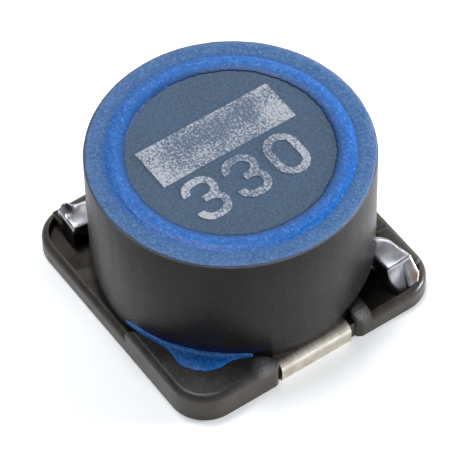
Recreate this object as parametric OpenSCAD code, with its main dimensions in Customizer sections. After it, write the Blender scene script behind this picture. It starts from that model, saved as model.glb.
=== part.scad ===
// Shielded SMD power inductor, 12.5 mm square, for a flat circuit board.
// Frame: millimetres, origin at the centre of the footprint on the board, +Z up,
// the two solder terminals on the +X and -X sides. The part repeats when turned
// half a turn about Z, apart from its printed marking.

/* [Base] */
// Side of the square moulded base
base_w = 12.5; // [8:0.1:20]
// Plan radius of the four base corners
base_corner_r = 1.62; // [0.8:0.02:3]
// Height of the low deck above the board
deck_h = 0.95; // [0.7:0.05:1.4]
// Height of the two solid corner blocks above the board
block_h = 1.52; // [1.1:0.02:2.2]
// Height of the raised seat that carries the shield ring
seat_h = 1.70; // [1.2:0.02:2.4]
// Radius of the moulded top edges
edge_r = 0.30; // [0.1:0.02:0.4]
// Height of the base underside above the board
standoff = 0.05; // [0.02:0.01:0.2]
// Height of the lead pit floor above the board
pit_floor = 0.45; // [0.4:0.01:0.7]
// Thickness of the wall left round each lead pit
pit_wall = 0.32; // [0.2:0.02:0.6]
// Width of the rib between a terminal notch and its lead pit
rib_w = 0.70; // [0.4:0.05:1.2]
// Radius of the rounded outer end of the rib
rib_r = 0.50; // [0.2:0.05:0.8]
// Distance from the centre line to the start of a corner block
block_start = 1.20; // [0:0.1:3]
// Length of the 45 degree cut in a corner block beside the terminal
block_cut = 1.13; // [0.6:0.01:2]

/* [Terminals] */
// Width of the terminal strip across the side of the base
term_w = 3.50; // [2:0.1:6]
// Thickness of the terminal strip
term_t = 0.20; // [0.1:0.01:0.3]
// Shift of the strip along its side of the base
term_shift = 0.16; // [0:0.02:0.4]
// Length of the solder pad under the base
pad_l = 2.70; // [1.5:0.1:4]
// Outside radius of the upper bend
bend_r = 0.40; // [0.25:0.01:0.5]
// Outside radius of the lower bend
foot_r = 0.30; // [0.25:0.01:0.5]
// Width of the terminal notch in the side of the base
notch_w = 3.84; // [2.5:0.02:6]
// Height of the solder tab that stands in the lead pit
tab_h = 1.40; // [0.8:0.05:1.7]

/* [Core] */
// Diameter of the drum core flanges
flange_d = 8.70; // [5:0.05:14]
// Diameter of the drum core post
post_d = 3.80; // [2:0.1:8]
// Thickness of the upper flange
flange_top_t = 1.12; // [0.6:0.02:2]
// Thickness of the lower flange
flange_bottom_t = 1.00; // [0.6:0.02:2]
// Height of the printed face above the top of the shield ring
core_rise = 0.01; // [0:0.01:0.2]

/* [Shield ring] */
// Outside diameter of the shield ring
ring_d = 11.96; // [8:0.02:19]
// Bore of the shield ring
ring_bore = 10.30; // [6:0.02:16]
// Height of the ring top above the board
ring_top = 7.45; // [4:0.01:12]
// Height of the ring bottom above the board
ring_bottom = 1.75; // [1.2:0.01:3]
// Chamfer on the ring edges
ring_chamfer = 0.08; // [0.02:0.01:0.3]

/* [Winding] */
// Diameter of the enamelled wire
wire_d = 1.10; // [0.3:0.05:1.4]
// Layers of turns
layers = 2; // [1:1:4]
// Bearing at which the first lead passes under the ring
lead_a = 51; // [40:1:60]
// Height of the lead axis under the ring
lead_z = 1.12; // [0.8:0.01:1.15]
// Height of the cut end of the lead
lead_end_z = 1.16; // [1:0.01:1.4]

/* [Adhesive and solder] */
// Thickness of the bond under the core
bond_t = 0.06; // [0.02:0.01:0.2]
// Depth of the blue epoxy between the upper flange and the ring
epoxy_depth = 1.05; // [0.4:0.05:2]
// Rise of the epoxy bead above the top of the ring
crest_rise = 0.11; // [0:0.01:0.3]
// Thickness of the blue epoxy film on top of the ring
film_t = 0.03; // [0.02:0.01:0.1]
// Reach of the epoxy bead round the foot of the ring
bead_reach = 0.10; // [0.05:0.01:0.3]
// Height of the epoxy bead up the wall of the ring
bead_rise = 0.16; // [0.05:0.01:0.5]
// Radius of the epoxy pool on the corner block
pool_r = 1.12; // [0.5:0.02:2]
// Thickness of the epoxy pool
pool_t = 0.10; // [0.04:0.01:0.2]
// Thickness of the solder over the lead
solder_t = 0.07; // [0.04:0.01:0.2]
// Width of the solder where it flares at the cut end of the lead
flare_w = 1.34; // [1.2:0.02:2]
// Length of that flare
flare_l = 1.05; // [0.6:0.01:1.6]
// Distance from the side of the base to the cut end of the lead
end_inset = 1.18; // [0.9:0.01:1.6]
// Distance from the side of the base to the line of the lead at its cut end
line_inset = 1.45; // [1.2:0.01:2]

/* [Marking] */
// Length of the printed bar
bar_l = 6.50; // [3:0.1:8]
// Width of the printed bar
bar_w = 2.10; // [0.5:0.02:3]
// Height of the printed figures
figure_h = 2.25; // [1:0.05:4]
// Width of each printed figure
figure_w = 1.55; // [0.6:0.05:3]
// Space between the printed figures
figure_gap = 0.42; // [0.1:0.02:1]
// Stroke of the printed figures
stroke = 0.34; // [0.15:0.01:0.6]
// Thickness of the printed ink
ink_t = 0.03; // [0.01:0.01:0.06]

/* [Hidden] */
$fn = 96;
half = base_w / 2;
flange_r = flange_d / 2;
post_r = post_d / 2;
ring_r = ring_d / 2;
core_top = ring_top + core_rise;
bore_r = ring_bore / 2;
wire_r = wire_d / 2;
fit = 0.05;                                   // clearance between loose neighbours
press = 0.02;                                 // small bite that joins shapes of one solid
pocket_r = flange_r + 0.07;                   // round pocket under the drum core
core_z = 0.62;                                // underside of the drum core
pocket_z = core_z - bond_t;                   // floor of that pocket
seat_r = ring_r - 0.10;                       // outside of the raised seat
notch_x = half - term_t - 0.02;               // bottom of the terminal notch
pit_x = half - pit_wall;                      // inner face of the pit wall
pit_y0 = notch_w / 2 + rib_w;                 // side of the pit next to the rib
pit_r = base_corner_r - pit_wall - 0.06;      // inner corner radius of the pit
win_z0 = core_z + flange_bottom_t;            // winding space, bottom
win_z1 = core_top - flange_top_t;             // winding space, top
pitch = wire_d - press;
coil_r0 = post_r + fit + wire_r;              // axis radius of the inner layer
coil_r1 = coil_r0 + (layers - 1) * pitch;     // axis radius of the outer layer
coil_gap = 0.12;                              // room between the coil and a flange
coil_z0 = win_z0 + coil_gap + wire_r;         // height of the lowest turn
turns = 1 + floor((win_z1 - coil_gap - wire_r - coil_z0) / pitch);
p_coil = polar(coil_r1, lead_a, coil_z0);
p_drop = polar(flange_r - 0.13, lead_a, coil_z0 - 0.15);
p_foot = polar(flange_r + 0.43, lead_a, lead_z);
p_out = polar(ring_r + 0.1, lead_a, lead_z + 0.02);
end_x = half - end_inset;                     // face at the cut end of the lead
end_y = half - line_inset;                    // line of the lead at its cut end
p_end = [end_x - wire_r / 4, end_y, lead_end_z];
p_neck = p_out + (p_end - p_out) * 0.12;      // start of the solder on the lead
tab_x = end_x - 0.30;                         // inner face of the solder tab
tab_y = end_y - 0.45;
tab_w = 0.50;
arm_x = tab_x - 0.10;                         // arm of the terminal inside the base
arm_w = 0.70;
arm_z = 0.16;
arm_y = term_w / 2 - term_shift - 0.79;
pool_a = -47.8;                               // bearing of the epoxy pool
p_pool = polar(ring_r - 0.22, pool_a, 0);
bar_gap = 0.31;                               // space between the bar and the figures
figure_shift = -0.20;                         // centre of the figures along Y

// Piece to draw, or all of them

function polar2(r, a) = [r * cos(a), r * sin(a)];
function polar(r, a, z) = concat(polar2(r, a), z);

module half_turn(n) { rotate([0, 0, n == 1 ? 0 : 180]) children(); }

// The two ends of the coil leave it in opposite senses, so the second one is
// the first mirrored across its corner and then turned half round.
module coil_end(n) {
    if (n == 1) children();
    else rotate([0, 0, 180]) mirror([1, -1, 0]) children();
}

// Square plate with rounded corners and a rounded top edge.
module edge_profile(w, h, e) {
    translate([-w / 2, 0]) square([w, h - e]);
    translate([-w / 2 + e, 0]) square([w - 2 * e, h]);
    for (s = [-1, 1]) translate([s * (w / 2 - e), h - e]) circle(r = e);
}

module plate(w, r, h, e) {
    run = w - 2 * r;
    rotate([90, 0, 0]) linear_extrude(height = run, center = true) edge_profile(w, h, e);
    rotate([90, 0, 90]) linear_extrude(height = run, center = true) edge_profile(w, h, e);
    for (x = [-1, 1], y = [-1, 1]) translate([x * run / 2, y * run / 2, 0])
        rotate_extrude() intersection() {
            edge_profile(2 * r, h, e);
            square([r + 1, h + 1]);
        }
}

// Plan of a corner block, cut back at 45 degrees behind the terminal notch.
module block_plan() {
    n = notch_w / 2;
    past = 2 * half;
    x = half - term_t - press;
    polygon([[block_start, -past], [past, -past], [past, -n], [x, -n], [x - block_cut, -n - block_cut],
             [block_start + edge_r, -n - block_cut], [block_start + edge_r, -half + edge_r],
             [block_start, -half]]);
}

// Plan of a lead pit, open towards the core.
module pit_plan() {
    c = pit_x - pit_r;
    translate([c, c]) circle(r = pit_r);
    p = lead_a - 45;
    polygon([[c - 1.4 * pit_r, pit_x], [c, pit_x], [pit_x, c], [pit_x, pit_y0],
             polar2(flange_r, 45 - 4 * p / 3), polar2(flange_r, 45 - p), polar2(flange_r, 45 + p),
             polar2(ring_r - bead_reach - edge_r, 45 + 3 * p)]);
}

// Plan of the terminal notch, with rounded mouth corners.
module notch_plan() {
    n = notch_w / 2;
    m = 0.35;
    translate([notch_x, -n]) square([1, notch_w]);
    for (s = [-1, 1]) difference() {
        translate([half - m, s * (n + m / 2) - m / 2]) square([m + 1, m]);
        translate([half - m, s * (n + m)]) circle(r = m);
    }
}

module rib() {
    rotate([90, 0, 0]) translate([0, 0, -notch_w / 2 - rib_w]) linear_extrude(height = rib_w) {
        translate([4.6, standoff]) square([half - rib_r - 4.6, deck_h + rib_r - standoff]);
        translate([4.6, standoff]) square([half - 4.6, deck_h - standoff]);
        intersection() {
            translate([half - rib_r, deck_h]) circle(r = rib_r);
            translate([half - rib_r, deck_h - press]) square(rib_r);
        }
    }
}

module base() {
    color([0.13, 0.13, 0.13]) difference() {
        union() {
            translate([0, 0, standoff])
                plate(base_w, base_corner_r, deck_h - standoff, edge_r);
            for (n = [1, 2]) half_turn(n) {
                intersection() {
                    translate([0, 0, standoff])
                        plate(base_w, base_corner_r, block_h - standoff, edge_r);
                    translate([0, 0, standoff]) linear_extrude(height = block_h) block_plan();
                }
                rib();
            }
            translate([0, 0, standoff]) cylinder(r = seat_r, h = seat_h - standoff);
        }
        translate([0, 0, pocket_z]) cylinder(r = pocket_r, h = 3);
        for (n = [1, 2]) half_turn(n) {
            translate([0, 0, pit_floor]) linear_extrude(height = 3) pit_plan();
            translate([0, 0, -1]) linear_extrude(height = 4) notch_plan();
            strip();
        }
        for (n = [1, 2]) coil_end(n) {
            lead(wire_r + solder_t + press);
            rod(p_drop, p_foot, wire_r);
            translate([0, 0, pit_floor]) linear_extrude(height = 3) flare_plan(fit);
        }
    }
}

// Terminal: pad, bends, upper leg and the arm with its tab, all one strip.
module strip() {
    y0 = -term_w / 2 - term_shift;
    translate([0, y0 + term_w, 0]) rotate([90, 0, 0]) linear_extrude(height = term_w) strip_section();
    translate([arm_x, arm_y, arm_z]) cube([arm_w, tab_y + tab_w - arm_y, term_t]);
    translate([tab_x, tab_y, arm_z]) cube([term_t, tab_w, tab_h - arm_z]);
}

module strip_section() {
    top = deck_h + term_t;
    translate([half - foot_r - pad_l, 0]) square([pad_l, term_t]);
    bend(half - foot_r, foot_r, foot_r, 1);
    translate([half - term_t, foot_r]) square([term_t, top - bend_r - foot_r]);
    bend(half - bend_r, top - bend_r, bend_r, 0);
    translate([5.0, deck_h]) square([half - bend_r - 5.0, term_t]);
}

module bend(x, z, r, down) {
    intersection() {
        translate([x, z]) difference() {
            circle(r = r);
            circle(r = r - term_t);
        }
        translate([x - press, z - (down == 1 ? r : press)]) square([r + press, r + press]);
    }
}

module terminal(n) {
    color([0.80, 0.79, 0.75]) half_turn(n) difference() {
        strip();
        half_turn(n) coil_end(n) lead(wire_r);
    }
}

module terminal_1() { terminal(1); }
module terminal_2() { terminal(2); }

module drum_core() {
    color([0.30, 0.33, 0.38]) difference() {
        union() {
            translate([0, 0, core_z]) cylinder(r = flange_r, h = flange_bottom_t);
            translate([0, 0, core_z]) cylinder(r = post_r, h = core_top - core_z);
            translate([0, 0, win_z1]) cylinder(r = flange_r, h = flange_top_t);
        }
        for (n = [1, 2]) coil_end(n) rotate([0, 0, lead_a])
            translate([coil_r1 - 0.05, -wire_r - 0.1, core_z - 1])
                cube([3, wire_d + 0.2, flange_bottom_t + 1.05]);
    }
}

module shield_ring() {
    c = ring_chamfer;
    color([0.20, 0.20, 0.21]) rotate_extrude()
        polygon([[bore_r, ring_bottom], [ring_r - c, ring_bottom], [ring_r, ring_bottom + c],
                 [ring_r, ring_top - c], [ring_r - c, ring_top], [bore_r, ring_top]]);
}

// Run of wire under the ring and out over the solder tab, as a round bar of
// the given radius.
module rod(a, b, r) {
    d = b - a;
    l = norm(d);
    translate(a) rotate([0, acos(d[2] / l), atan2(d[1], d[0])]) cylinder(r = r, h = l);
}

module knee(p, r) { translate(p) sphere(r = 1.06 * r); }

module lead(r) {
    rod(p_foot, p_out, r);
    rod(p_out, p_end, r);
    for (p = [p_foot, p_out]) knee(p, r);
}

module winding() {
    color([0.62, 0.34, 0.18]) {
        rotate_extrude() {
            translate([coil_r0, coil_z0])
                square([coil_r1 - coil_r0 + press, (turns - 1) * pitch]);
            for (i = [0:layers - 1], j = [0:turns - 1])
                translate([coil_r0 + i * pitch, coil_z0 + j * pitch]) circle(r = wire_r);
        }
        for (n = [1, 2]) coil_end(n) {
            rod(p_coil, p_drop, wire_r - press);
            knee(p_drop, wire_r - press);
            rod(p_drop, p_foot, wire_r - press);
            lead(wire_r);
        }
    }
}

module core_bond() {
    color([0.16, 0.24, 0.36]) difference() {
        translate([0, 0, pocket_z]) cylinder(r = flange_r - 0.3, h = bond_t);
        for (n = [1, 2]) coil_end(n) rotate([0, 0, lead_a])
            translate([coil_r1 - 0.25, -wire_r - 0.3, 0]) cube([3, wire_d + 0.6, 3]);
    }
}

// Blue epoxy that holds one half of the ring, with its bead and pool.
module ring_bond(n) {
    b = ring_r + bead_reach;
    color([0.22, 0.42, 0.70]) half_turn(n) difference() {
        union() {
            rotate([0, 0, -114]) rotate_extrude(angle = 138)
                polygon([[bore_r, seat_h], [seat_r, seat_h], [seat_r, ring_bottom],
                         [bore_r, ring_bottom]]);
            rotate([0, 0, -77]) rotate_extrude(angle = 46)
                polygon([[seat_r, block_h], [b, block_h], [b, block_h + 0.06],
                         [ring_r, ring_bottom + bead_rise], [ring_r, ring_bottom],
                         [seat_r - 0.2, ring_bottom], [seat_r - 0.2, seat_h], [seat_r, seat_h]]);
            difference() {
                translate([p_pool[0], p_pool[1], block_h]) cylinder(r = pool_r, h = pool_t);
                cylinder(r = seat_r, h = 3);
            }
        }
        cylinder(r = bore_r - 0.1, h = 3);
    }
}

module ring_bond_1() { ring_bond(1); }
module ring_bond_2() { ring_bond(2); }

// Blue epoxy in the gap between the upper flange and the ring. It stands up as
// a round bead and thins to a film over the ring.
module top_epoxy() {
    run = bore_r - flange_r;
    round_r = (pow(run / 2, 2) + pow(crest_rise, 2)) / (2 * crest_rise);
    color([0.28, 0.47, 0.72]) rotate_extrude() {
        polygon([[flange_r, ring_top - epoxy_depth], [bore_r, ring_top - epoxy_depth],
                 [bore_r, ring_top], [ring_r - ring_chamfer - 0.01, ring_top],
                 [ring_r - ring_chamfer - 0.03, ring_top + film_t],
                 [bore_r - press, ring_top + film_t], [bore_r - press, ring_top],
                 [flange_r, ring_top]]);
        intersection() {
            translate([flange_r + run / 2, ring_top + crest_rise - round_r]) circle(r = round_r);
            translate([flange_r, ring_top - press]) square([run, crest_rise + 1]);
        }
    }
}

// Solder round the end of one lead: a sleeve over the wire that flares at the
// cut end and stands on the pit floor round the terminal tab.
module flare_plan(gap) {
    w = flare_w / 2 + gap;
    neck = wire_r - 0.10 + gap;
    translate([end_x, end_y])
        polygon([[-flare_l - gap, -neck], [solder_t + gap, -w], [solder_t + gap, 0.3 * w],
                 [0.6 * w + gap, 0.6 * w], [-0.3 * w, w], [-flare_l - gap, neck]]);
}

module solder(n) {
    color([0.78, 0.78, 0.79]) difference() {
        coil_end(n) {
            rod(p_neck, p_end, wire_r + solder_t);
            translate([0, 0, pit_floor])
                linear_extrude(height = lead_end_z + wire_r - pit_floor - press) flare_plan(0);
        }
        coil_end(n) lead(wire_r);
        half_turn(n) strip();
    }
}

module solder_1() { solder(1); }
module solder_2() { solder(2); }

// Plain figures in one stroke width, drawn with their tops towards -X.
module pill(h, w) {
    r = min(h, w) / 2;
    for (x = [r, h - r], y = [r, w - r]) translate([x, y]) circle(r = r);
    translate([h > w ? r : 0, h > w ? 0 : r]) square([h > w ? h - w : h, h > w ? w : w - h]);
}

module round_stroke(h, w) {
    difference() {
        pill(h, w);
        translate([stroke, stroke]) pill(h - 2 * stroke, w - 2 * stroke);
    }
}

module figure_3() {
    bowl = (figure_h + stroke) / 2;
    difference() {
        for (x = [0, figure_h - bowl]) translate([x, 0]) round_stroke(bowl, figure_w);
        translate([bowl / 2, -1]) square([figure_h - bowl, 0.42 * figure_w + 1]);
    }
}

// Printed bar and the figures 330, reading along +Y.
module marking() {
    run = 3 * figure_w + 2 * figure_gap;
    step = figure_w + figure_gap;
    color([0.74, 0.77, 0.80]) translate([0, 0, core_top]) linear_extrude(height = ink_t) {
        translate([-bar_w, -bar_l / 2]) square([bar_w, bar_l]);
        translate([bar_gap, figure_shift - run / 2]) {
            for (i = [0, 1]) translate([0, i * step]) figure_3();
            translate([0, 2 * step]) round_stroke(figure_h, figure_w);
        }
    }
}

base();
terminal_1();
terminal_2();
drum_core();
shield_ring();
winding();
core_bond();
ring_bond_1();
ring_bond_2();
top_epoxy();
solder_1();
solder_2();
marking();
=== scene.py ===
"""Shielded surface-mount power inductor, dressed for a close view.

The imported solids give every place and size. Base, terminals, core, coil and printed ink
keep their solids and get finishes. Ring, epoxy and solder get finer surfaces here, and
the lead pits get a ledge. Lengths in the shape functions are millimetres, turned into
metres by to_mesh().
"""
import math

import bpy
import numpy as np
from mathutils import Matrix, Vector


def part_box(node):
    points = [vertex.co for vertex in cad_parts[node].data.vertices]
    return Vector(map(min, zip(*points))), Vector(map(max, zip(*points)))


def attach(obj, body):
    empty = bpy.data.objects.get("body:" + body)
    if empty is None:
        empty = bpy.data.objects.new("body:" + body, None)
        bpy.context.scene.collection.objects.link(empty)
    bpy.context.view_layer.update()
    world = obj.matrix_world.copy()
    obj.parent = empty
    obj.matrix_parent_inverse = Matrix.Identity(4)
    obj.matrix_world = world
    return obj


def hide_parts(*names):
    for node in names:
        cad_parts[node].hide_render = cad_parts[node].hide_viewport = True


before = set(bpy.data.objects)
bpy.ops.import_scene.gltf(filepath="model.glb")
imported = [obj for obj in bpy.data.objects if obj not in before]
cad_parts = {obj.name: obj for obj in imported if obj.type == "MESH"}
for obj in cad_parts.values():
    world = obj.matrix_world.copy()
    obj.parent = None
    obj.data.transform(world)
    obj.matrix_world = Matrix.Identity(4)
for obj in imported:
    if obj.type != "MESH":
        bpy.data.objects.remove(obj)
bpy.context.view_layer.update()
MM = 0.001
TAU = 2 * math.pi


def mm_box(node):
    """Lowest and highest corner of a solid, in millimetres."""
    low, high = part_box(node)
    return np.array(low) / MM, np.array(high) / MM


# ---------------------------------------------------------------- driving sizes

ring_low, ring_high = mm_box("shield_ring")
ring_r = ring_high[0]
ring_top = ring_high[2]
ring_bottom = ring_low[2]
flange_r = mm_box("drum_core")[1][0]
core_top = mm_box("drum_core")[1][2]
crest_top = mm_box("top_epoxy")[1][2]
pit_floor = mm_box("solder_1")[0][2]
deck_top = 0.95                     # low deck of the base
block_top = 1.52                    # its corner blocks
bore_r = 5.15                       # bore of the shield ring
pool_bearing = math.radians(-47.8)  # middle of the epoxy pool on corner block 1
lead_bearing = math.radians(51)     # heading of lead 1 under the ring
end_bearing = math.radians(3.9)     # and at its cut end
lead_start_r = 5.3                  # where the line of the lead starts, from the Z axis
lead_length = 2.04
bend_start, bend_length = 0.53, 0.47
bar_middle = -1.35                  # X of the printed bar's middle line


# ---------------------------------------------------------------- meshes

def to_mesh(name, verts, faces, finish, stands_for=()):
    """Mesh object from points in millimetres and a list of faces, smooth shaded."""
    mesh = bpy.data.meshes.new(name)
    mesh.from_pydata((np.asarray(verts) * MM).tolist(), [], faces)
    mesh.polygons.foreach_set("use_smooth", [True] * len(mesh.polygons))
    mesh.update()
    piece = bpy.data.objects.new(name, mesh)
    bpy.context.scene.collection.objects.link(piece)
    mesh.materials.append(finish)
    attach(piece, "root")
    if stands_for:
        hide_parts(*stands_for)
    return piece


def grid_faces(rows, cols, wrap_rows=False):
    """Quads of a grid of points whose rows are closed loops, with the last row joined to
    the first where the rows wrap."""
    i = np.arange(rows if wrap_rows else rows - 1)
    i, j = [g.ravel() for g in np.meshgrid(i, np.arange(cols), indexing="ij")]
    ni, nj = (i + 1) % rows, (j + 1) % cols
    return np.stack([i * cols + j, ni * cols + j, ni * cols + nj, i * cols + nj], axis=1).tolist()


def bearings(turns):
    """Column of evenly spaced angles round the Z axis."""
    return (np.arange(turns) * TAU / turns)[:, None]


def ring_surface(profile_r, profile_z):
    """Closed profile turned about Z: both arrays are (angles, profile points)."""
    turns, points = profile_r.shape
    a = bearings(turns)
    verts = np.stack([profile_r * np.cos(a), profile_r * np.sin(a), profile_z], axis=-1)
    return verts.reshape(-1, 3), grid_faces(turns, points, wrap_rows=True)


def swept_skin(loops):
    """Skin over a row of closed loops (steps, points, 3), with a fan closing each end."""
    steps, n = loops.shape[:2]
    verts = np.vstack([loops.reshape(-1, 3), loops[0].mean(0), loops[-1].mean(0)])
    faces = grid_faces(steps, n)
    first, last = steps * n, steps * n + 1
    j = np.arange(n)
    faces += np.stack([j, (j + 1) % n, np.full(n, first)], axis=1).tolist()
    top = (steps - 1) * n
    faces += np.stack([top + (j + 1) % n, top + j, np.full(n, last)], axis=1).tolist()
    return verts, faces


def at_corner(n, loops):
    """Loops modelled at corner 1, or for corner 2 with (x, y) taken to (-y, -x). That is a
    mirror image, so each loop then runs the other way."""
    if n == 1:
        return loops
    return np.stack([-loops[..., 1], -loops[..., 0], loops[..., 2]], axis=-1)[:, ::-1]


def waves(angle, counts, sizes, seed):
    """Sum of sine waves round a circle, with seeded phases."""
    phases = np.random.default_rng(seed).uniform(0, TAU, len(counts))
    return sum(s * np.sin(c * angle + p) for c, s, p in zip(counts, sizes, phases))


# ---------------------------------------------------------------- finishes

# Spans of a noise that a finish takes from nothing to full: its middle, and nearly all of it
MIDDLE = (0.35, 0.65)
WIDE = (0.3, 0.7)


def tint(r, g, b):
    """Linear colour of an 8-bit screen colour."""
    c = np.array([r, g, b]) / 255
    return tuple(np.where(c <= 0.04045, c / 12.92, ((c + 0.055) / 1.055) ** 2.4)) + (1.0,)


class Finish:
    """A procedural finish on Object coordinates measured in millimetres."""

    def __init__(self, name, rough, metal=0.0, specular=0.5):
        self.mat = bpy.data.materials.new(name)
        self.mat.use_nodes = True
        self.nodes = self.mat.node_tree.nodes
        self.links = self.mat.node_tree.links
        self.shader = self.nodes["Principled BSDF"]
        self.shader.inputs["Roughness"].default_value = rough
        self.shader.inputs["Metallic"].default_value = metal
        self.shader.inputs["Specular IOR Level"].default_value = specular
        place = self.nodes.new("ShaderNodeTexCoord")
        scaled = self.nodes.new("ShaderNodeVectorMath")
        scaled.operation = "SCALE"
        scaled.inputs["Scale"].default_value = 1 / MM
        self.links.new(place.outputs["Object"], scaled.inputs[0])
        self.place = scaled.outputs[0]

    def stretched(self, x, y, z):
        """Coordinates scaled on each axis, for marks that run one way."""
        node = self.nodes.new("ShaderNodeVectorMath")
        node.operation = "MULTIPLY"
        node.inputs[1].default_value = (x, y, z)
        self.links.new(self.place, node.inputs[0])
        return node.outputs[0]

    def grain(self, per_mm, detail=4.0, rough=0.6, where=None):
        """Noise with the given number of waves per millimetre."""
        node = self.nodes.new("ShaderNodeTexNoise")
        node.inputs["Scale"].default_value = per_mm
        node.inputs["Detail"].default_value = detail
        node.inputs["Roughness"].default_value = rough
        self.links.new(where or self.place, node.inputs["Vector"])
        return node.outputs["Fac"]

    def steps(self, value, low, high, out_low=0.0, out_high=1.0):
        """Value taken from low..high to out_low..out_high, held at both ends."""
        node = self.nodes.new("ShaderNodeMapRange")
        for socket, number in zip(("From Min", "From Max", "To Min", "To Max"),
                                  (low, high, out_low, out_high)):
            node.inputs[socket].default_value = number
        self.links.new(value, node.inputs["Value"])
        return node.outputs["Result"]

    def maths(self, kind, a, b=None, c=None):
        """One arithmetic step between values or numbers."""
        node = self.nodes.new("ShaderNodeMath")
        node.operation = kind
        for socket, value in zip(node.inputs, (a, b, c)):
            if value is None:
                continue
            if isinstance(value, (int, float)):
                socket.default_value = value
            else:
                self.links.new(value, socket)
        return node.outputs[0]

    def axes(self):
        """The three coordinates in millimetres."""
        parts = self.nodes.new("ShaderNodeSeparateXYZ")
        self.links.new(self.place, parts.inputs[0])
        return tuple(parts.outputs)

    def radius(self):
        """Distance from the Z axis in millimetres, and the height."""
        x, y, z = self.axes()
        square = self.maths("ADD", self.maths("MULTIPLY", x, x), self.maths("MULTIPLY", y, y))
        return self.maths("SQRT", square), z

    def mixed(self, fac, a, b):
        """Colour between a and b, each a socket or a linear colour."""
        node = self.nodes.new("ShaderNodeMix")
        node.data_type = "RGBA"
        self.links.new(fac, node.inputs["Factor"])
        for socket, value in zip((node.inputs[6], node.inputs[7]), (a, b)):
            if isinstance(value, tuple):
                socket.default_value = value
            else:
                self.links.new(value, socket)
        return node.outputs[2]

    def near(self, x, y, z, full, none):
        """One within the first distance of a point, falling to nothing at the second."""
        node = self.nodes.new("ShaderNodeVectorMath")
        node.operation = "DISTANCE"
        node.inputs[1].default_value = (x, y, z)
        self.links.new(self.place, node.inputs[0])
        return self.steps(node.outputs["Value"], full, none, 1.0, 0.0)

    def paint(self, colour):
        """Colour of the surface from a socket."""
        self.links.new(colour, self.shader.inputs["Base Color"])

    def gloss(self, value):
        """Roughness from a socket, in place of the plain number."""
        self.links.new(value, self.shader.inputs["Roughness"])

    def relief(self, height, depth_mm, strength):
        """Bump with the given depth in millimetres."""
        node = self.nodes.new("ShaderNodeBump")
        node.inputs["Strength"].default_value = strength
        node.inputs["Distance"].default_value = depth_mm * MM
        self.links.new(height, node.inputs["Height"])
        self.links.new(node.outputs[0], self.shader.inputs["Normal"])


def moulded_base():
    """Dark moulding compound: smooth skin, faint flow clouds and paler filler specks.

    The skin is browner on the low parts. It is painted dark under the ring's foot as painted shade,
    and painted paler at four places beside the terminal notches as painted highlights.
    """
    f = Finish("moulded_base", rough=0.36, specular=0.4)
    fine = f.grain(9, detail=6)
    cloud = f.grain(0.8, detail=3)
    across, height = f.radius()
    low = f.mixed(f.steps(cloud, *MIDDLE), tint(50, 46, 40), tint(65, 58, 50))
    top = f.mixed(f.steps(cloud, *MIDDLE), tint(42, 41, 40), tint(55, 54, 53))
    body = f.mixed(f.steps(height, deck_top + 0.2, block_top - 0.06), low, top)
    body = f.mixed(f.steps(fine, 0.58, 0.78), body, tint(99, 93, 86))
    # Painted highlights: paler patches beside the terminal notches stand in for light on the block
    # ends and ribs
    for x, y, z in ((6.1, 2.15, 1.45), (6.0, -2.62, 1.45)):
        for turn in (1, -1):
            painted_highlight = f.near(turn * x, turn * y, z, 0.1, 0.6)
            painted_highlight = f.maths("MULTIPLY", painted_highlight, f.steps(fine, 0.3, 0.6, 0.4, 1.0))
            body = f.mixed(painted_highlight, body, tint(124, 124, 128))
    # Painted shade: the base is painted dark inside the ring's radius, under its foot
    f.paint(f.mixed(f.steps(across, ring_r + 0.01, ring_r + 0.14), tint(30, 27, 25), body))
    f.gloss(f.steps(cloud, *WIDE, 0.29, 0.42))
    f.relief(fine, 0.012, 0.5)
    return f.mat


def tinned_strip():
    """Tin plate on copper strip: satin, with faint draw lines along the fold, and painted darker
    low down as painted shade.
    """
    f = Finish("tinned_strip", rough=0.3, metal=1.0)
    lines = f.grain(1.0, where=f.stretched(2, 26, 2))
    cloud = f.grain(1.6)
    height = f.axes()[2]
    skin = f.mixed(f.steps(cloud, *MIDDLE), tint(221, 214, 200), tint(247, 241, 231))
    # Painted shade: the lower part is darker, in place of the shadowed floor its face reflects
    side = f.mixed(f.steps(cloud, *MIDDLE), tint(195, 187, 172), tint(221, 214, 199))
    f.paint(f.mixed(f.steps(height, 0.62, 0.9), side, skin))
    f.gloss(f.steps(lines, *WIDE, 0.24, 0.42))
    f.relief(lines, 0.008, 0.4)
    return f.mat


def slate_coating():
    """Ground ferrite under a thin slate blue coat, with fine pits and a few pale specks."""
    f = Finish("slate_coating", rough=0.55, specular=0.2)
    fine = f.grain(9, detail=6)
    cloud = f.grain(0.4, detail=3)
    specks = f.grain(22, detail=1)
    body = f.mixed(f.steps(cloud, *MIDDLE), tint(64, 83, 103), tint(67, 90, 118))
    body = f.mixed(f.steps(fine, 0.40, 0.66), body, tint(85, 106, 131))
    f.paint(f.mixed(f.steps(specks, 0.70, 0.78), body, tint(149, 159, 172)))
    f.relief(fine, 0.02, 0.6)
    return f.mat


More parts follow.
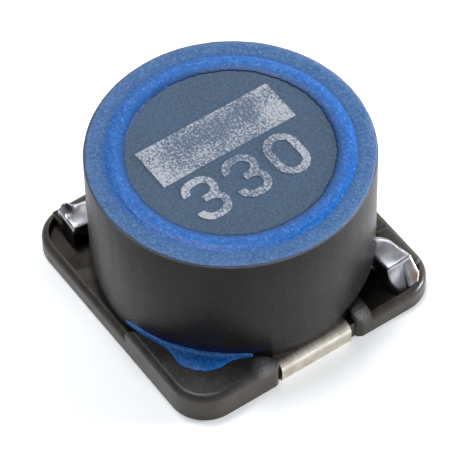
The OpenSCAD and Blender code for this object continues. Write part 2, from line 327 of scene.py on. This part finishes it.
def ferrite_wall():
    """Fired ferrite: near black with a fine grain and worn grey at the top edge.

    Beside each epoxy pool the foot is stained blue. The stain fades between two angles from
    the pool's bearing and between two heights over the foot.
    """
    f = Finish("ferrite_wall", rough=0.3, specular=0.14)
    stain_full, stain_none = 0.25, 0.52
    fine = f.grain(12, detail=8, rough=0.7)
    cloud = f.grain(0.6, detail=3)
    body = f.mixed(f.steps(cloud, *MIDDLE), tint(30, 30, 32), tint(37, 37, 38))
    body = f.mixed(f.steps(fine, 0.52, 0.8), body, tint(71, 69, 67))
    x, y, z = f.axes()
    body = f.mixed(f.steps(z, ring_top - 0.07, ring_top - 0.01), body, tint(99, 98, 99))
    toward = f.maths("ABSOLUTE", f.maths("ADD", f.maths("MULTIPLY", x, math.cos(pool_bearing)),
                                         f.maths("MULTIPLY", y, math.sin(pool_bearing))))
    low = f.steps(f.maths("ADD", z, f.steps(fine, *WIDE, -0.1, 0.1)),
                  ring_bottom + 0.05, ring_bottom + 0.5, 1.0, 0.0)
    beside = f.steps(toward, ring_r * math.cos(stain_none), ring_r * math.cos(stain_full))
    f.paint(f.mixed(f.maths("MULTIPLY", low, beside), body, tint(23, 37, 85)))
    f.gloss(f.steps(fine, *WIDE, 0.22, 0.36))
    f.relief(fine, 0.02, 0.6)
    return f.mat


def blue_epoxy():
    """Blue epoxy: deep and glossy in the beads, thin and mottled over the ring.

    The film is deeper beside the bead, and paler at the rim, partly from the thinning film and
    partly a painted sheen. The bead is painted darker at its inner edge as painted shade, and a
    painted highlight follows the crest of the bead on the corner blocks.
    """
    f = Finish("blue_epoxy", rough=0.3, specular=0.33)
    across, height = f.radius()
    fine = f.grain(8, detail=8, rough=0.75)
    patch = f.grain(1.5)
    film = f.mixed(f.steps(patch, 0.35, 0.68), tint(34, 87, 145), tint(57, 103, 159))
    film = f.mixed(f.steps(fine, 0.46, 0.68), film, tint(101, 141, 193))
    film = f.mixed(f.steps(across, bore_r, bore_r + 0.25, 0.5, 0.0), film, tint(30, 83, 142))
    # Paler rim: partly the thinning film, partly a painted sheen
    thin_rim_and_sheen = f.steps(across, ring_r - 0.35, ring_r - 0.08, 0.0, 0.25)
    film = f.mixed(thin_rim_and_sheen, film, tint(122, 142, 172))
    bead = f.mixed(f.steps(fine, 0.40, 0.60), tint(8, 83, 165), tint(27, 118, 207))
    bead = f.mixed(f.steps(fine, 0.53, 0.66), bead, tint(83, 142, 218))
    # Painted shade: the bead's inner edge by the flange is darker
    bead = f.mixed(f.steps(across, flange_r, flange_r + 0.3), tint(25, 69, 126), bead)
    # Painted highlight: a pale line along the crest of the foot bead on the corner blocks
    crest_highlight = f.maths("MULTIPLY", f.steps(height, block_top + 0.1, block_top + 0.16),
                    f.steps(height, block_top + 0.18, block_top + 0.23, 1.0, 0.0))
    crest_highlight = f.maths("MULTIPLY", crest_highlight, f.steps(fine, 0.4, 0.6, 0.3, 0.9))
    bead = f.mixed(crest_highlight, bead, tint(101, 152, 214))
    ragged = f.maths("ADD", across, f.steps(fine, *WIDE, -0.05, 0.05))
    on_film = f.maths("MULTIPLY", f.steps(ragged, bore_r - 0.03, bore_r + 0.06),
                      f.steps(height, ring_bottom + 1, ring_top - 1))
    f.paint(f.mixed(on_film, bead, film))
    f.gloss(f.maths("MULTIPLY_ADD", on_film, 0.22, 0.28))
    f.relief(fine, 0.03, 0.6)
    return f.mat


def dipped_solder(name, copper_and_painted_shade, spot):
    """Frozen solder, satin grey, with a spot of another colour: bare copper on one lug, painted
    shade on the other.

    The spot is its place (x, y, z) and the distances where it is full and where it ends.
    """
    f = Finish(name, rough=0.3, metal=1.0)
    cloud = f.grain(1.6, detail=3)
    body = f.mixed(f.steps(cloud, *MIDDLE), tint(164, 166, 172), tint(200, 201, 206))
    f.paint(f.mixed(f.near(*spot), body, copper_and_painted_shade))
    f.gloss(f.steps(cloud, *MIDDLE, 0.27, 0.32))
    return f.mat


def coil_wire():
    """Enamelled copper under the ring, tinned where the lead comes out."""
    f = Finish("coil_wire", rough=0.3, metal=1.0)
    across = f.radius()[0]
    fine = f.grain(5)
    copper = f.mixed(f.steps(fine, 0.4, 0.6), tint(175, 99, 60), tint(216, 131, 85))
    tinned = f.mixed(f.steps(fine, 0.4, 0.6), tint(228, 229, 233), tint(247, 247, 247))
    f.paint(f.mixed(f.steps(across, ring_r - 0.5, ring_r - 0.4), copper, tinned))
    f.gloss(f.steps(fine, *WIDE, 0.22, 0.36))
    return f.mat


def stippled_ink():
    """Pale printed ink that took unevenly, so the coat shows through in fine specks.

    It covers better towards the ends of the lines and the long sides of the bar.
    """
    f = Finish("stippled_ink", rough=0.6, specular=0.3)
    x, y = f.axes()[:2]
    fine = f.grain(9.5, detail=3, rough=0.65)
    worn = f.grain(0.9, detail=3)
    ends = f.steps(f.maths("ABSOLUTE", y), 1.4, 2.9, -0.07, 0.05)
    off_middle = f.maths("ABSOLUTE", f.maths("ADD", x, -bar_middle))
    sides = f.steps(off_middle, 0.2, 0.75, -0.035, 0.035)
    cover = f.maths("ADD", f.maths("ADD", fine, f.steps(worn, *MIDDLE, -0.05, 0.05)),
                    f.maths("ADD", ends, sides))
    f.paint(f.mixed(f.steps(cover, 0.42, 0.60), tint(92, 109, 133), tint(186, 190, 200)))
    f.relief(fine, 0.02, 0.6)
    return f.mat


# ---------------------------------------------------------------- ring and epoxy

def shield_ring(finish):
    """Ring wall: the turned profile with its edges rounded off by quarter arcs.

    The outer half is worn back by the size of a sum of sine waves round the ring.
    """
    turns, edge_r = 360, 0.05
    arc = np.linspace(0, math.pi / 2, 5)
    inner, outer = bore_r + edge_r, ring_r - edge_r
    low, high = ring_bottom + edge_r, ring_top - edge_r
    corners = ((inner, low, math.pi), (outer, low, 1.5 * math.pi),
               (outer, high, 0.0), (inner, high, 0.5 * math.pi))
    r = np.concatenate([x + edge_r * np.cos(start + arc) for x, z, start in corners])
    z = np.concatenate([z + edge_r * np.sin(start + arc) for x, z, start in corners])
    worn = waves(bearings(turns), (3, 7, 19, 43), (0.006, 0.004, 0.003, 0.003), 3)
    outward = np.clip((r - bore_r) / (ring_r - bore_r) * 2 - 1, 0, 1)
    verts, faces = ring_surface(r - np.abs(worn) * outward, np.broadcast_to(z, (turns, len(z))))
    return to_mesh("shield_ring_wall", verts, faces, finish, ["shield_ring"])


def top_epoxy(finish):
    """Epoxy cap: a round bead over the gap and a film that fades out near the ring's edge.

    Across the bead, u runs from 0 to 1 and the height is 1 - |2u - 1|^2.2 of the full rise.
    Across the film, v does and the thickness is 1 - v^6 of the full one. Both edges and both
    heights wander by sums of sine waves. Below, the profile closes through the gap.
    """
    turns = 480
    lap, rim_gap, tuck = 0.06, 0.055, 0.02
    bead_foot, film_foot, film_t = 0.013, 0.002, 0.030
    crest_room, plug_depth, core_sink = 0.015, 1.05, 0.01
    rise = crest_top - ring_top - crest_room
    plug_bottom = ring_top - plug_depth
    a = bearings(turns)
    inner = flange_r - lap + waves(a, (9, 23, 57, 101, 163), (0.010, 0.012, 0.014, 0.014, 0.012), 5)
    edge = ring_r - rim_gap + waves(a, (6, 17, 41, 83), (0.010, 0.008, 0.007, 0.006), 11)

    u = np.linspace(0, 1, 15)
    bead_r = inner + (bore_r - inner) * u
    swell = waves(a, (4, 11), (0.006, 0.004), 8) * np.sin(math.pi * u)
    bead_z = ring_top + bead_foot + (1 - np.abs(2 * u - 1) ** 2.2) * rise + swell
    bead_z = np.minimum(bead_z, crest_top)

    v = np.linspace(0.06, 1, 12)
    film_r = bore_r + (edge - bore_r) * v
    ripple = waves(a, (31, 67), (0.002, 0.002), 2) * (1 - v)
    film_z = ring_top + film_foot + film_t * (1 - v ** 6) + ripple

    plug_r = np.broadcast_to([bore_r, bore_r, flange_r, flange_r], (turns, 4))
    plug_z = [ring_top, ring_top, plug_bottom, plug_bottom, core_top - core_sink]
    plug_z = np.broadcast_to(plug_z, (turns, 5))
    r = np.concatenate([bead_r, film_r, edge - tuck, plug_r], axis=1)[:, ::-1]
    z = np.concatenate([bead_z, film_z, plug_z], axis=1)[:, ::-1]
    verts, faces = ring_surface(r, z)
    return to_mesh("top_epoxy_bead", verts, faces, finish, ["top_epoxy"])


def foot_epoxy(n, finish):
    """Bead along the foot of the ring with its pool on the corner block.

    Each cross-section starts at the ring wall and runs out over the block. Its height falls
    off like exp(-x) for the bead, plus a shallow dome for the pool. The reach swells round
    the pool's bearing as exp(-x^3) and tapers to nothing at both ends.
    """
    steps, cols = 150, 22
    first, last = math.radians(-82), math.radians(-27)
    bead_reach, bead_low, bead_rise, bead_fade = 0.085, 0.06, 0.17, 0.05
    pool_reach, pool_spread, dome_h = 0.74, 0.175, 0.075
    climb, in_wall, least = 0.14, 0.02, 0.002
    sink, edge_back, root_in, top_in = 0.01, 0.03, 0.12, 0.04
    a = np.linspace(first, last, steps)[:, None]
    taper = np.sin(np.linspace(0, math.pi, steps)[:, None]) ** 0.35
    lobe = np.exp(-np.abs((a - pool_bearing) / pool_spread) ** 3)
    lobe *= 1 + waves(a, (23, 41, 77), (0.03, 0.02, 0.02), 20 + n)
    reach = bead_reach * taper + pool_reach * lobe

    v = np.linspace(0, 1, cols)[None, :]
    r = ring_r - in_wall + (reach + in_wall) * v
    bead = (bead_low + bead_rise * taper) * np.exp(-np.clip(r - ring_r, 0, None) / bead_fade)
    dome = dome_h * lobe ** 0.5 * (1 - v ** 2.4) ** 0.6
    z = block_top + bead * (1 - v ** 4) + dome
    z[:, :1] = block_top + (ring_bottom - block_top + climb) * taper
    z = np.clip(z, block_top + least, z[:, :1])

    sunk, root = np.full_like(a, block_top - sink), np.full_like(a, ring_r - root_in)
    under_r = [r[:, -1:] - edge_back * taper, root, r[:, :1] - top_in]
    r = np.concatenate([r, *under_r], axis=1)[:, ::-1]
    z = np.concatenate([z, sunk, sunk, z[:, :1] - top_in * taper], axis=1)[:, ::-1]
    spin = a + (math.pi if n == 2 else 0)
    loops = np.stack([r * np.cos(spin), r * np.sin(spin), z], axis=-1)
    verts, faces = swept_skin(loops)
    return to_mesh(f"foot_epoxy_{n}", verts, faces, finish, [f"ring_bond_{n}"])


# ---------------------------------------------------------------- leads and solder

def lead_line(s):
    """Middle line of the lead at the given lengths from under the ring to the cut end.

    The heading is constant, turns evenly through the bend, and is constant again; the line
    is its running sum. Each point comes with the unit vector to its left.
    """
    grid = np.linspace(0, lead_length, 200)
    bend = np.clip((grid - bend_start) / bend_length, 0, 1)
    heading = lead_bearing + (end_bearing - lead_bearing) * bend
    step = grid[1]
    x = lead_start_r * math.cos(lead_bearing) + np.cumsum(np.cos(heading) * step)
    y = lead_start_r * math.sin(lead_bearing) + np.cumsum(np.sin(heading) * step)
    over = np.clip(s - lead_length, 0, None)
    angle = np.interp(s, grid, heading)
    return (np.interp(s, grid, x) + over * math.cos(end_bearing),
            np.interp(s, grid, y) + over * math.sin(end_bearing), -np.sin(angle), np.cos(angle))


def lug_height(side, s, horn, upper):
    """Height of the lug's top or underside at a place across it and lengths along it.

    Across, from side -1 to 1, both follow a superellipse whose exponent rises from 2 to 10
    along the lead. Along it, the top has a low hump of exp(-x^2) and lifts as the sixth
    power. At the cut end it sags between the flanks, and a horn of exp(-x^2) stands up
    towards side 1.
    """
    root_top, hump, hump_at, hump_spread = 1.722, 0.05, 0.40, 0.13
    end_lift, sag, horn_back, horn_spread = 0.055, 0.05, 0.3, 0.28
    root_low, end_low = 0.55, pit_floor + 0.02
    t = np.clip(s / lead_length, 0, 1)
    ease = t ** 3 * (10 - 15 * t + 6 * t * t)
    power = 2 + 8 * ease
    bulge = (1 - np.abs(side) ** power) ** (1 / power)
    top = root_top + hump * np.exp(-((t - hump_at) / hump_spread) ** 2) + end_lift * t ** 6
    low = root_low + (end_low - root_low) * ease
    middle, half = (top + low) / 2, (top - low) / 2
    if not upper:
        return middle - half * bulge
    peak = np.exp(-((s - lead_length + horn_back) / horn_spread) ** 2)
    saddle = ease * sag * (side ** 2 - 0.5) + horn * peak * np.clip(side, 0, 1) ** 2
    return middle + half * bulge + saddle * bulge


def solder_lug(n, finish, tilt, horn, flare, toe):
    """Soldered lead end, round under the ring and blocky at its cut end.

    For each place across the lead a closed loop runs out along the top, over a tight edge,
    down the end face and back below. The face leans out by tilt times the depth, and its
    foot runs out by toe times the square of the way down. Past a crease that slants down
    the face, a plane facet leans out by flare times the depth, up to a limit that shrinks
    evenly near the flank.
    """
    across, along, down, under, round_edge = 70, 46, 24, 30, 7      # counts of points
    root_w, end_w = (0.59, 0.65), (0.57, 0.75)      # half widths on each side
    crease, slant, crease_w = 0.25, 0.35, 0.09
    most_jut, trim, trim_from = 0.78, 0.9, 0.42
    top_edge, low_edge = 0.13, 0.16
    flank = 0.99995                                 # just short of 1, so the loop stays open
    side = np.sin(np.linspace(-math.pi / 2, math.pi / 2, across)) * flank
    by_crease = crease / end_w[1] + np.array([-0.02, -0.005, 0.005, 0.02])
    side = np.unique(np.concatenate([side, by_crease]))[:, None]
    off_middle = side * np.where(side > 0, end_w[1], end_w[0])
    reach = np.full_like(side, lead_length)
    corner = np.linspace(0, math.pi / 2, round_edge)[None, 1:]

    out = np.linspace(0, 1, along)[None, :] ** 0.85 * (reach - top_edge)
    z_top = lug_height(side, reach, horn, upper=True)
    z_low = lug_height(side, reach, horn, upper=False)
    arc_s = reach - top_edge + top_edge * np.sin(corner)
    arc_z = z_top - top_edge * (1 - np.cos(corner))

    q = np.linspace(0, 1, down)[None, 1:]
    face_z = (z_top - top_edge) * (1 - q) + (z_low + low_edge) * q
    depth = z_top - top_edge - face_z
    facet = np.clip((off_middle - crease + slant * depth) / crease_w + 0.5, 0, 1)
    limit = most_jut - trim * np.maximum(off_middle - trim_from, 0)
    jut = np.minimum(flare * depth, limit) * facet ** 2 * (3 - 2 * facet)
    face_s = reach + np.maximum(tilt * depth + toe * q ** 2 * (1 - side ** 4), jut)

    foot_s = face_s[:, -1:]
    low_s = foot_s - low_edge + low_edge * np.cos(corner)
    low_z = z_low + low_edge - low_edge * np.sin(corner)
    back = np.linspace(1, 0, under)[None, 1:] * (foot_s - low_edge)
    s = np.concatenate([out, arc_s, face_s, low_s, back], axis=1)
    z = np.concatenate([lug_height(side, out, horn, upper=True), arc_z, face_z, low_z,
                        lug_height(side, back, horn, upper=False)], axis=1)
    t = np.clip(s / lead_length, 0, 1)
    near = root_w[0] + (end_w[0] - root_w[0]) * t
    far = root_w[1] + (end_w[1] - root_w[1]) * t ** 2
    w = side * np.where(side > 0, far, near)
    x, y, left_x, left_y = lead_line(s)
    loops = at_corner(n, np.stack([x + left_x * w, y + left_y * w, z], axis=-1))
    verts, faces = swept_skin(loops[:, ::-1])
    return to_mesh(f"solder_lug_{n}", verts, faces, finish, [f"solder_{n}"])


def pit_ledge(n, finish):
    """Ledge along the outer side of the lead pit, a little lower than its wall.

    A rounded oblong section carried along X: y and z follow a superellipse.
    """
    power = 6
    x_from, x_to = 2.8, 5.12
    y_middle, y_half = 5.55, 0.42
    z_middle, z_half = 0.88, 0.38
    phi = np.arange(40) * TAU / 40
    c, s = np.cos(phi), np.sin(phi)
    y = y_middle + y_half * np.sign(c) * np.abs(c) ** (2 / power)
    z = z_middle + z_half * np.sign(s) * np.abs(s) ** (2 / power)
    x = np.linspace(x_from, x_to, 12)[:, None]
    loops = at_corner(n, np.stack(np.broadcast_arrays(x, y[None, :], z[None, :]), axis=-1))
    verts, faces = swept_skin(loops[:, ::-1])
    return to_mesh(f"pit_ledge_{n}", verts, faces, finish)


# ---------------------------------------------------------------- scene

def studio_floor():
    """Pale floor that keeps the shadow. It glows a little for what sees it directly, which
    is the rays from the camera and those sent on by gloss or through clear matter."""
    pale, glow_tint, glow_level = 0.9, (0.90, 0.96, 1.0, 1), 0.37
    bpy.ops.mesh.primitive_plane_add(size=3.0)
    floor = bpy.context.object
    floor.name = "studio_floor"
    mat = bpy.data.materials.new("studio_floor")
    mat.use_nodes = True
    nodes, links = mat.node_tree.nodes, mat.node_tree.links
    shader = nodes["Principled BSDF"]
    shader.inputs["Base Color"].default_value = (pale, pale, pale, 1)
    shader.inputs["Roughness"].default_value = 0.9
    shader.inputs["Specular IOR Level"].default_value = 0.1
    rays = nodes.new("ShaderNodeLightPath")
    shown = rays.outputs["Is Camera Ray"]
    for kind in ("Is Glossy Ray", "Is Transmission Ray"):
        either = nodes.new("ShaderNodeMath")
        either.operation = "MAXIMUM"
        links.new(shown, either.inputs[0])
        links.new(rays.outputs[kind], either.inputs[1])
        shown = either.outputs[0]
    level = nodes.new("ShaderNodeMath")
    level.operation = "MULTIPLY"
    level.inputs[1].default_value = glow_level
    links.new(shown, level.inputs[0])
    glow = nodes.new("ShaderNodeEmission")
    glow.inputs["Color"].default_value = glow_tint
    links.new(level.outputs[0], glow.inputs["Strength"])
    both = nodes.new("ShaderNodeAddShader")
    links.new(shader.outputs[0], both.inputs[0])
    links.new(glow.outputs[0], both.inputs[1])
    links.new(both.outputs[0], nodes["Material Output"].inputs["Surface"])
    floor.data.materials.append(mat)


def studio_sky():
    """Soft light from all round, strongest at the horizon and weakest overhead."""
    horizon, overhead, full_height = 0.57, 0.16, 0.8
    world = bpy.data.worlds.new("studio")
    bpy.context.scene.world = world
    world.use_nodes = True
    nodes, links = world.node_tree.nodes, world.node_tree.links
    place = nodes.new("ShaderNodeTexCoord")
    parts = nodes.new("ShaderNodeSeparateXYZ")
    sky = nodes.new("ShaderNodeMapRange")
    sky.inputs["From Max"].default_value = full_height
    sky.inputs["To Min"].default_value = horizon
    sky.inputs["To Max"].default_value = overhead
    links.new(place.outputs["Generated"], parts.inputs[0])
    links.new(parts.outputs["Z"], sky.inputs["Value"])
    links.new(sky.outputs["Result"], nodes["Background"].inputs["Strength"])
    nodes["Background"].inputs["Color"].default_value = (0.96, 0.98, 1.0, 1)


def softbox(name, azimuth, elevation, width, height, power):
    """Area lamp on a sphere round the part, facing it. Azimuth is from +X towards +Y."""
    distance = 0.5
    a, e = math.radians(azimuth), math.radians(elevation)
    away = Vector((math.cos(a) * math.cos(e), math.sin(a) * math.cos(e), math.sin(e)))
    data = bpy.data.lights.new(name, "AREA")
    data.shape = "RECTANGLE"
    data.size, data.size_y = width, height
    data.energy = power
    lamp = bpy.data.objects.new(name, data)
    bpy.context.scene.collection.objects.link(lamp)
    lamp.location = away * distance
    lamp.rotation_mode = "QUATERNION"
    lamp.rotation_quaternion = away.to_track_quat("Z", "Y")


def camera(azimuth, elevation, roll, distance, lens, aim):
    """Camera on a sphere round the aim point. Azimuth 0 looks along +Y."""
    a, e = math.radians(azimuth), math.radians(elevation)
    back = Vector((math.sin(a) * math.cos(e), -math.cos(a) * math.cos(e), math.sin(e)))
    data = bpy.data.cameras.new("main_camera")
    data.lens = lens
    data.clip_start, data.clip_end = 0.01, 10
    cam = bpy.data.objects.new("main_camera", data)
    bpy.context.scene.collection.objects.link(cam)
    cam.location = aim + back * distance
    turn = (-back).to_track_quat("-Z", "Y")
    cam.rotation_mode = "QUATERNION"
    cam.rotation_quaternion = turn @ Matrix.Rotation(math.radians(roll), 3, "Z").to_quaternion()
    bpy.context.scene.camera = cam


camera(azimuth=56.06, elevation=51.69, roll=-1.36, distance=0.1445, lens=271.8,
       aim=Vector((-0.00005, -0.00008, 0.00233)))
studio_floor()
studio_sky()
softbox("top_softbox", azimuth=185, elevation=77, width=0.12, height=0.12, power=1.21)
softbox("back_softbox", azimuth=140, elevation=34, width=0.5, height=0.10, power=0.71)
softbox("right_softbox", azimuth=62, elevation=9, width=0.16, height=0.10, power=3.0)
bpy.context.scene.view_settings.view_transform = "Standard"

epoxy, plate = blue_epoxy(), tinned_strip()
shield_ring(ferrite_wall())
top_epoxy(epoxy)
for n in (1, 2):
    foot_epoxy(n, epoxy)
# The second spot is painted shade: lug 2's end is painted near black in place of the dark pit its
# end face reflects
bare_copper, painted_end_shade = tint(192, 158, 138), tint(41, 37, 33)
solder_lug(1, dipped_solder("solder_cut", bare_copper, (5.62, 5.3, 1.2, 0.06, 0.28)),
           tilt=0.14, horn=0.03, flare=1.05, toe=0.5)
solder_lug(2, dipped_solder("solder_painted_shade", painted_end_shade, (-4.7, -5.2, 0.55, 0.92, 1.08)),
           tilt=-0.04, horn=0.42, flare=0.0, toe=0.1)

moulding = moulded_base()
for n in (1, 2):
    pit_ledge(n, moulding)
for node, finish in (("base", moulding), ("drum_core", slate_coating()),
                     ("marking", stippled_ink()), ("winding", coil_wire()),
                     ("core_bond", epoxy), ("terminal_1", plate), ("terminal_2", plate)):
    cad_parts[node].data.materials.clear()
    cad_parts[node].data.materials.append(finish)
